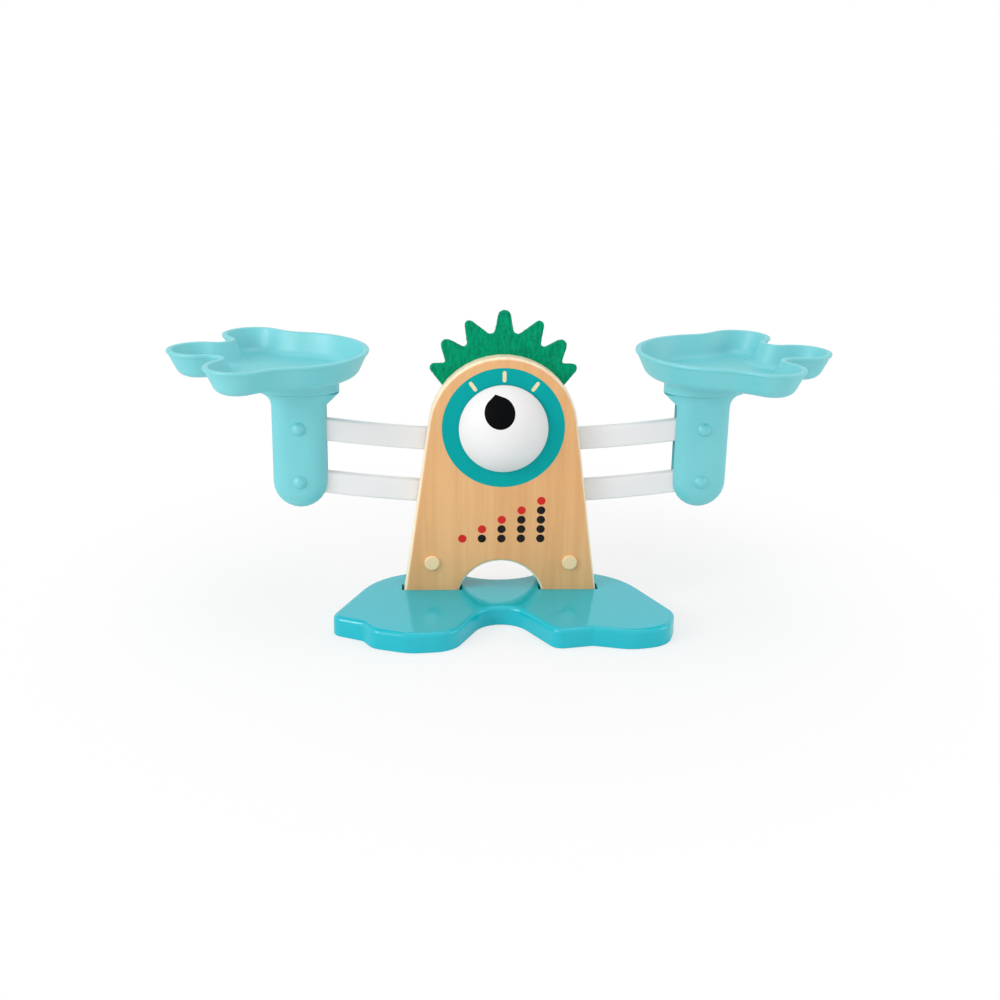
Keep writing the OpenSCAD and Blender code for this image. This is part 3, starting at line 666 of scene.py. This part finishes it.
def metal_finish(context):
    """Plating of the axles and screws."""
    tones = context.scene.scale_colours
    values = {"Colour": opaque(tones.metal), "Dull": opaque(tones.metal_dark)}
    return finish("plated_steel", plated_metal(), values, METAL_RELIEF, {"Metallic": 1.0})


def ink_finish(name, tone, thin):
    """Ink of one colour."""
    values = {"Colour": opaque(tone), "Thin": opaque(thin)}
    return finish(name, ink_layer(), values, INK_RELIEF, {"Specular IOR Level": 0.08})


# Pieces


@kept
def even_shading(name):
    """Geometry nodes that join split corners and shade shallow edges smooth."""
    group = bpy.data.node_groups.new(name, "GeometryNodeTree")
    group.interface.new_socket(name="Mesh", in_out="INPUT", socket_type="NodeSocketGeometry")
    limit = group.interface.new_socket(name="Limit", in_out="INPUT", socket_type="NodeSocketFloat")
    limit.subtype = "ANGLE"
    limit.default_value = SMOOTH_ANGLE
    group.interface.new_socket(name="Mesh", in_out="OUTPUT", socket_type="NodeSocketGeometry")
    tree = Tree(group)
    given = tree.add("NodeGroupInput").outputs
    joined = tree.add(
        "GeometryNodeMergeByDistance", {"Geometry": given["Mesh"], "Distance": WELD}
    )
    edge = tree.add("GeometryNodeInputMeshEdgeAngle")
    sharp = tree.math("GREATER_THAN", edge.outputs["Unsigned Angle"], given["Limit"])
    values = {
        "Mesh": joined.outputs[0],
        "Remove Custom": True,
        "Edge Sharpness": sharp,
        "Face Sharpness": False,
    }
    shaded = tree.add("GeometryNodeSetMeshNormal", values, mode="SHARPNESS")
    tree.feed(tree.add("NodeGroupOutput").inputs[0], shaded.outputs[0])
    return group


def dress(name, material, smooth=False):
    """Gives a CAD node its material, and soft shading where its faces are facets."""
    piece = frame["nodes"][name]
    for place in piece.material_slots:
        place.material = material
    if smooth:
        piece.modifiers.new("Even shading", "NODES").node_group = even_shading()
        weigh = piece.modifiers.new("Flat faces", "WEIGHTED_NORMAL")
        weigh.keep_sharp = True
        weigh.weight = 100


def new_piece(name, points, faces, material, body, smooth=False):
    """A mesh piece with one material that rides on a body."""
    mesh = bpy.data.meshes.new(name)
    mesh.from_pydata([tuple(point) for point in points], [], faces)
    mesh.validate()
    mesh.polygons.foreach_set("use_smooth", [smooth] * len(mesh.polygons))
    mesh.materials.append(material)
    piece = bpy.data.objects.new(name, mesh)
    bpy.context.scene.collection.objects.link(piece)
    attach(piece, body)
    return piece


def held_inside(point, low, high):
    """The point, moved into the box from low to high if it lies outside."""
    return Vector([min(max(point[i], low[i]), high[i]) for i in range(3)])


def turn_outward(piece):
    """Makes every face of a closed piece look outward."""
    shape = bmesh.new()
    shape.from_mesh(piece.data)
    bmesh.ops.recalc_face_normals(shape, faces=shape.faces)
    shape.to_mesh(piece.data)
    shape.free()


def circle(middle, radius, start=0.0, sweep=math.tau, steps=96):
    """Points of an arc in the XZ plane, as (x, z), from start through sweep."""
    count = steps if abs(sweep) >= math.tau - 1e-6 else steps + 1
    return [
        Vector((
            middle[0] + radius * math.cos(start + sweep * k / steps),
            middle[1] + radius * math.sin(start + sweep * k / steps),
        ))
        for k in range(count)
    ]


def bar(middle, turn, near, far, width):
    """A bar with round ends that points away from middle, turned from upright."""
    out = Vector((math.sin(turn), math.cos(turn)))
    half = width / 2
    points = []
    for reach, start in ((far - half, -turn), (near + half, math.pi - turn)):
        points += circle(Vector(middle) + out * reach, half, start, math.pi, 12)
    return points


def film(name, outlines, layer, material, context):
    """Ink on the front panel: each item of outlines is a rim, then its holes."""
    step = context.scene.scale_sizes.film
    back = FRONT_Y - layer * step
    front = back - step
    points, faces = [], []
    for loops in outlines:
        flat = [[Vector((p.x, p.y, 0)) for p in loop] for loop in loops]
        joined = [p for loop in flat for p in loop]
        start, count = len(points), len(joined)
        points += [Vector((p.x, front, p.y)) for p in joined]
        points += [Vector((p.x, back, p.y)) for p in joined]
        for a, b, c in tessellate_polygon(flat):
            faces.append((start + a, start + b, start + c))
            faces.append((start + count + c, start + count + b, start + count + a))
        offset = start
        for loop in flat:
            size = len(loop)
            for k in range(size):
                a, b = offset + k, offset + (k + 1) % size
                faces.append((a, a + count, b + count, b))
            offset += size
    turn_outward(new_piece(name, points, faces, material, "stand"))


def drop(up, middle, tip, radius):
    """Outline of a disc drawn out to a tip in the direction up, and the disc's middle."""
    heading = math.atan2(up.y, up.x)
    side = math.acos(radius / (tip - middle))
    arc = circle(up * middle, radius, heading + side, math.tau - 2 * side)
    end = up * tip
    steps = 10
    rim = [end.lerp(arc[0], k / steps) for k in range(steps)] + arc
    rim += [arc[-1].lerp(end, k / steps) for k in range(1, steps)]
    return rim, up * middle


def dome_skin(name, rim, middle, material, context):
    """A thin closed skin on the dome, from the outline of its edge round its middle."""
    sizes = context.scene.scale_sizes
    centre_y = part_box("eye_dome")[0][1] + sizes.dome_curve
    rings, count = 10, len(rim)
    points, faces = [], []
    for lift in (sizes.film, -sizes.film):
        start = len(points)
        flat = [middle]
        for ring in range(1, rings + 1):
            flat += [middle.lerp(p, ring / rings) for p in rim]
        for p in flat:
            depth = math.sqrt((sizes.dome_curve + lift) ** 2 - p.length_squared)
            points.append(Vector((EYE.x + p.x, centre_y - depth, EYE.z + p.y)))
        for k in range(count):
            nxt = (k + 1) % count
            faces.append((start, start + 1 + k, start + 1 + nxt))
            for ring in range(rings - 1):
                near = start + 1 + ring * count
                far = near + count
                faces.append((near + k, far + k, far + nxt, near + nxt))
    half = len(points) // 2
    edge = half - count
    for k in range(count):
        nxt = (k + 1) % count
        faces.append((edge + k, edge + nxt, half + edge + nxt, half + edge + k))
    piece = new_piece(name, points, faces, material, "upper_arm", True)
    turn_outward(piece)
    piece.data.set_sharp_from_angle(angle=SMOOTH_ANGLE)


def screw_points(head, shank, span, arm, depth):
    """A countersunk wood screw along +Z with a cross recess, as points and faces."""
    half = arm / ARM_RATIO / 2
    cross = []
    for quarter in range(4):
        turn = Matrix.Rotation(quarter * math.pi / 2, 2)
        cross += [turn @ Vector(p) for p in ((arm, -half), (arm, half), (half, half))]
    rim = circle((0, 0), head, steps=32)
    points = [Vector((p.x, p.y, 0)) for p in rim + cross]
    flat = [[Vector((p.x, p.y, 0)) for p in loop] for loop in (rim, cross)]
    faces = [tuple(reversed(t)) for t in tessellate_polygon(flat)]
    first = len(points)
    points += [Vector((p.x * RECESS_TAPER, p.y * RECESS_TAPER, depth)) for p in cross]
    count = len(cross)
    for k in range(count):
        a, b = len(rim) + k, len(rim) + (k + 1) % count
        faces.append((a, b, first + (k + 1) % count, first + k))
    faces.append(tuple(first + k for k in range(count)))
    rings = [(shank, head - shank)]
    rise = head - shank
    ridge = 0
    while rise < span - POINT_LENGTH:
        rise += HALF_THREAD
        ridge += 1
        rings.append((shank * (1.0 if ridge % 2 else ROOT_WIDTH), rise))
    rings.append((shank * TIP_WIDTH, span))
    before = 0
    for radius, height in rings:
        start = len(points)
        points += [Vector((p.x * radius / head, p.y * radius / head, height)) for p in rim]
        for k in range(len(rim)):
            nxt = (k + 1) % len(rim)
            faces.append((before + k, before + nxt, start + nxt, start + k))
        before = start
    faces.append(tuple(before + k for k in range(len(rim))))
    return points, faces


def screws(name, places, head, shank, span, material, context):
    """Screws at the given matrices, in place of the plain ones of the frame."""
    sizes = context.scene.scale_sizes
    shape, sides = screw_points(head, shank, span, sizes.recess, sizes.recess_depth)
    points, faces = [], []
    for place in places:
        start = len(points)
        points += [place @ p for p in shape]
        faces += [tuple(start + k for k in side) for side in sides]
    piece = new_piece(name, points, faces, material, "stand")
    turn_outward(piece)
    return piece


# Operators


class SCALE_OT_base(bpy.types.Operator):
    """Lacquers the base board"""

    bl_idname = "scale_toy.base"
    bl_label = "Base board"

    def execute(self, context):
        dress("base_board", lacquer_finish(context), smooth=True)
        return {"FINISHED"}


class SCALE_OT_stand(bpy.types.Operator):
    """Gives the panels, spacers and pegs their wood"""

    bl_idname = "scale_toy.stand"
    bl_label = "Wooden stand"

    def execute(self, context):
        for name in ("front_panel", "rear_panel"):
            dress(name, beech_finish(context), smooth=True)
        for name in ("left_leg_spacer", "right_leg_spacer", "top_spacer"):
            dress(name, pale_finish(context))
        dress("leg_pegs", dowel_finish(context))
        return {"FINISHED"}


class SCALE_OT_dial(bpy.types.Operator):
    """Prints the dial ring with its ticks round the dome"""

    bl_idname = "scale_toy.dial"
    bl_label = "Dial ring"

    def execute(self, context):
        sizes = context.scene.scale_sizes
        tones = context.scene.scale_colours
        middle = (EYE.x, EYE.z)
        ring = [circle(middle, sizes.ring_radius), circle(middle, sizes.ring_inner)]
        film("dial_ring", [ring], 0, ink_finish("ring_ink", tones.ring, tones.ring_thin), context)
        ticks = [
            [bar(middle, k * sizes.tick_step, sizes.tick_from, sizes.tick_to, sizes.tick_width)]
            for k in (-1, 0, 1)
        ]
        film("dial_ticks", ticks, 1, ink_finish("tick_ink", tones.tick, tones.tick_thin), context)
        return {"FINISHED"}


class SCALE_OT_dots(bpy.types.Operator):
    """Prints columns of counting dots under the dial, each with one dot more"""

    bl_idname = "scale_toy.dots"
    bl_label = "Counting dots"

    def execute(self, context):
        sizes = context.scene.scale_sizes
        tones = context.scene.scale_colours
        lower, tops = [], []
        for column in range(sizes.dot_columns):
            across = EYE.x + (column - (sizes.dot_columns - 1) / 2) * sizes.dot_column
            for row in range(column + 1):
                up = EYE.z - sizes.dots_drop + row * sizes.dot_row
                dot = [circle((across, up), sizes.dot_radius, steps=40)]
                (tops if row == column else lower).append(dot)
        film("counting_dots", lower, 0, ink_finish("dot_ink", tones.dot, tones.dot_thin), context)
        red = ink_finish("top_dot_ink", tones.top_dot, tones.top_dot_thin)
        film("top_dots", tops, 0, red, context)
        return {"FINISHED"}


class SCALE_OT_crest(bpy.types.Operator):
    """Makes the crest of soft felt with loose fibres"""

    bl_idname = "scale_toy.crest"
    bl_label = "Felt crest"

    def execute(self, context):
        sizes = context.scene.scale_sizes
        low, high = (Vector(corner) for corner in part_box("felt_crest"))
        mesh = self.cells(context)
        shape = bmesh.new()
        shape.from_mesh(mesh)
        axes = {"use_axis_x": True, "use_axis_y": True, "use_axis_z": True}
        for _ in range(FELT_ROUNDS):
            bmesh.ops.smooth_vert(shape, verts=shape.verts, factor=0.5, **axes)
        shape.normal_update()
        middle_y = (low.y + high.y) / 2
        for point in shape.verts:
            lump = noise.noise(point.co * COARSE_LUMPS)
            lump += FINE_SHARE * noise.noise(point.co * FINE_LUMPS)
            point.co += point.normal * lump * sizes.felt_lump
            point.co.y = middle_y + (point.co.y - middle_y) * FELT_SHARE
            point.co = held_inside(point.co, low, high)
        shape.normal_update()
        spots = [
            (point.co.copy(), point.normal.copy())
            for point in shape.verts
            if math.hypot(point.co.x - EYE.x, point.co.z - EYE.z) > FREE_FROM
        ]
        shape.to_mesh(mesh)
        shape.free()
        if not spots:
            raise RuntimeError("the crest has no free edge for its fibres")
        mesh.materials.clear()
        mesh.materials.append(felt_finish(context))
        mesh.polygons.foreach_set("use_smooth", [True] * len(mesh.polygons))
        crest = bpy.data.objects.new("crest_felt", mesh)
        context.scene.collection.objects.link(crest)
        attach(crest, "stand")
        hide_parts("felt_crest")
        fuzz = self.fibres(context, spots, low, high)
        return {"FINISHED"}

    def cells(self, context):
        """The crest of the frame, cut into even cells."""
        draft = bpy.data.objects.new("crest_draft", frame["nodes"]["felt_crest"].data.copy())
        context.scene.collection.objects.link(draft)
        remesh = draft.modifiers.new("Cells", "REMESH")
        remesh.mode = "VOXEL"
        remesh.voxel_size = context.scene.scale_sizes.felt_cell
        context.view_layer.update()
        shown = draft.evaluated_get(context.evaluated_depsgraph_get())
        mesh = bpy.data.meshes.new_from_object(shown)
        bpy.data.objects.remove(draft)
        return mesh

    def fibres(self, context, spots, low, high):
        """Short thin strands that stand a little off the felt."""
        sizes = context.scene.scale_sizes
        felt = felt_finish(context)
        chance = random.Random(FIBRE_SEED)
        points, faces = [], []
        for _ in range(sizes.fibre_count):
            root, normal = chance.choice(spots)
            lie = Vector((chance.gauss(0, 1), chance.gauss(0, FIBRE_LEAN), chance.gauss(0, 1)))
            lie = (lie - normal * lie.dot(normal)).normalized()
            span = sizes.fibre_length * chance.uniform(FIBRE_SHORT, 1.0)
            across = normal.cross(lie).normalized() * FIBRE_HALF
            start = len(points)
            for k in range(FIBRE_STEPS + 1):
                share = k / FIBRE_STEPS
                lift = FIBRE_ARCH * math.sin(math.pi * (share * 0.9 + 0.05))
                sway = across * FIBRE_SWAY * math.sin(share * FIBRE_WAVES + start)
                at = root + lie * span * (share - FIBRE_BACK) + normal * lift + sway
                for side in (across, normal * FIBRE_HALF, -across):
                    points.append(held_inside(at + side, low, high))
            for k in range(FIBRE_STEPS):
                a = start + 3 * k
                for i in range(3):
                    j = (i + 1) % 3
                    faces.append((a + i, a + j, a + 3 + j, a + 3 + i))
        return new_piece("crest_fibres", points, faces, felt, "stand", True)


class SCALE_OT_eye(bpy.types.Operator):
    """Gives the dome and its pointer their plastic, and the pointer a smooth skin"""

    bl_idname = "scale_toy.eye"
    bl_label = "Dome and pointer"

    def execute(self, context):
        sizes = context.scene.scale_sizes
        black = plastic_finish(context, "black")
        dress("eye_dome", plastic_finish(context, "white"))
        dress("eye_pointer", black)
        up = Vector((-math.sin(sizes.pointer_turn), math.cos(sizes.pointer_turn)))
        rim, middle = drop(up, sizes.pointer_mid, sizes.pointer_tip, sizes.pointer_radius)
        dome_skin("pointer_skin", rim, middle, black, context)
        return {"FINISHED"}


class SCALE_OT_beams(bpy.types.Operator):
    """Gives the two beams their plastic"""

    bl_idname = "scale_toy.beams"
    bl_label = "Beams"

    def execute(self, context):
        for name in ("upper_beam", "lower_beam"):
            dress(name, plastic_finish(context, "white"), smooth=True)
        return {"FINISHED"}


class SCALE_OT_carriers(bpy.types.Operator):
    """Gives the columns, pins and pans their plastic"""

    bl_idname = "scale_toy.carriers"
    bl_label = "Columns and pans"

    def execute(self, context):
        for side in ("left", "right"):
            for part in ("column_front", "column_rear", "pan"):
                dress(f"{side}_{part}", plastic_finish(context, "aqua"), smooth=True)
            dress(f"{side}_pins", plastic_finish(context, "aqua"))
        return {"FINISHED"}


class SCALE_OT_fittings(bpy.types.Operator):
    """Finishes the axles, bushes and washers, and makes the screws with their recess"""

    bl_idname = "scale_toy.fittings"
    bl_label = "Axles and screws"

    def execute(self, context):
        metal = metal_finish(context)
        for name in ("lower_axle", "eye_axle", "eye_axle_cap"):
            dress(name, metal)
        for name in ("axle_bushes", "lower_washers"):
            dress(name, plastic_finish(context, "white"))
        low, high = (Vector(corner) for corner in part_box("crest_screws"))
        head = (high.z - low.z) / 2
        shank = head / 2
        middle = (low.z + high.z) / 2
        turn = Matrix.Rotation(math.pi / 2, 4, "X")
        places = [
            Matrix.Translation((side * (high.x - head), high.y, middle)) @ turn for side in (-1, 1)
        ]
        piece = screws("crest_screw_set", places, head, shank, high.y - low.y, metal, context)
        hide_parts("crest_screws")
        low, high = (Vector(corner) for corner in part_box("base_screws"))
        places = [
            Matrix.Translation((side * (high.x - head), depth, low.z))
            for side in (-1, 1)
            for depth in (low.y + head, high.y - head)
        ]
        piece = screws("base_screw_set", places, head, shank, high.z - low.z, metal, context)
        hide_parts("base_screws")
        return {"FINISHED"}


class SCALE_OT_stage(bpy.types.Operator):
    """Sets up the floor, the light and the camera"""

    bl_idname = "scale_toy.stage"
    bl_label = "Stage"

    def execute(self, context):
        scene = context.scene
        setup = scene.scale_stage
        self.floor(context)
        self.surround(scene, setup)
        for name, (place, size) in LAMPS.items():
            self.lamp(scene, name, getattr(setup, name), place, size)
        camera = bpy.data.cameras.new("camera")
        camera.lens = setup.lens
        camera.sensor_width = 36
        camera.clip_end = 50
        holder = bpy.data.objects.new("camera", camera)
        holder.location = setup.camera_place
        holder.rotation_euler = Euler(setup.camera_turn)
        scene.collection.objects.link(holder)
        scene.camera = holder
        scene.view_settings.view_transform = "Standard"
        return {"FINISHED"}

    def floor(self, context):
        """A pale floor that turns into the white of the surround away from the object."""
        mesh = bpy.data.meshes.new("floor")
        corners = [
            (x * FLOOR_HALF, y * FLOOR_HALF, -FLOOR_DEPTH)
            for x, y in ((-1, -1), (1, -1), (1, 1), (-1, 1))
        ]
        mesh.from_pydata(corners, [], [(0, 1, 2, 3)])
        material = bpy.data.materials.new("floor")
        material.use_nodes = True
        tree = Tree(material.node_tree)
        shader = material.node_tree.nodes["Principled BSDF"]
        shader.inputs["Base Color"].default_value = (0.9, 0.9, 0.9, 1.0)
        shader.inputs["Roughness"].default_value = 0.7
        shader.inputs["Specular IOR Level"].default_value = 0.1
        parts = tree.split(tree.place())
        reach = tree.root_sum(parts[0], parts[1])
        glow = tree.add("ShaderNodeEmission", {"Color": WHITE, "Strength": 1.0})
        seen = tree.add("ShaderNodeLightPath").outputs["Is Camera Ray"]
        share = tree.math("MULTIPLY", tree.band(reach, *FLOOR_FADE), seen)
        sources = {0: share, 1: shader.outputs[0], 2: glow.outputs[0]}
        blend = tree.add("ShaderNodeMixShader", sources)
        tree.feed(material.node_tree.nodes["Material Output"].inputs["Surface"], blend.outputs[0])
        mesh.materials.append(material)
        piece = bpy.data.objects.new("floor", mesh)
        context.scene.collection.objects.link(piece)

    def surround(self, scene, setup):
        """White to the camera and in reflections, softer as a light."""
        world = bpy.data.worlds.new("surround")
        world.use_nodes = True
        scene.world = world
        tree = Tree(world.node_tree)
        paths = tree.add("ShaderNodeLightPath").outputs
        seen = tree.math("MAXIMUM", paths["Is Camera Ray"], paths["Is Glossy Ray"])
        background = world.node_tree.nodes["Background"]
        background.inputs["Color"].default_value = WHITE
        strength = tree.add(
            "ShaderNodeMapRange", {"Value": seen, "To Min": setup.surround, "To Max": 1.0}
        )
        tree.feed(background.inputs["Strength"], strength.outputs[0])

    def lamp(self, scene, name, watts, place, size):
        """A square area light that points at the middle of the object."""
        light = bpy.data.lights.new(name, "AREA")
        light.energy = watts
        light.size = size
        holder = bpy.data.objects.new(name, light)
        holder.location = place
        aim = AIM - Vector(place)
        holder.rotation_euler = aim.to_track_quat("-Z", "Y").to_euler()
        scene.collection.objects.link(holder)


OPERATORS = (
    SCALE_OT_base,
    SCALE_OT_stand,
    SCALE_OT_dial,
    SCALE_OT_dots,
    SCALE_OT_crest,
    SCALE_OT_eye,
    SCALE_OT_beams,
    SCALE_OT_carriers,
    SCALE_OT_fittings,
    SCALE_OT_stage,
)


class SCALE_PT_sidebar(bpy.types.Panel):
    """Lists the sizes, the colours and the steps"""

    bl_idname = "SCALE_PT_sidebar"
    bl_label = "Toy balance scale"
    bl_space_type = "VIEW_3D"
    bl_region_type = "UI"
    bl_category = "Scale"

    def draw(self, context):
        layout = self.layout
        scene = context.scene
        for group in (scene.scale_sizes, scene.scale_colours, scene.scale_stage):
            box = layout.box()
            for name in group.__annotations__:
                box.prop(group, name)
        for step in OPERATORS:
            layout.operator(step.bl_idname)


CLASSES = (ScaleColours, ScaleSizes, ScaleStage, *OPERATORS, SCALE_PT_sidebar)


def register():
    for item in CLASSES:
        bpy.utils.register_class(item)
    bpy.types.Scene.scale_colours = PointerProperty(type=ScaleColours)
    bpy.types.Scene.scale_sizes = PointerProperty(type=ScaleSizes)
    bpy.types.Scene.scale_stage = PointerProperty(type=ScaleStage)


def unregister():
    del bpy.types.Scene.scale_stage
    del bpy.types.Scene.scale_sizes
    del bpy.types.Scene.scale_colours
    for item in reversed(CLASSES):
        bpy.utils.unregister_class(item)


def main():
    register()
    bpy.ops.scale_toy.base()
    bpy.ops.scale_toy.stand()
    bpy.ops.scale_toy.dial()
    bpy.ops.scale_toy.dots()
    bpy.ops.scale_toy.crest()
    bpy.ops.scale_toy.eye()
    bpy.ops.scale_toy.beams()
    bpy.ops.scale_toy.carriers()
    bpy.ops.scale_toy.fittings()
    bpy.ops.scale_toy.stage()


if __name__ == "__main__":
    main()
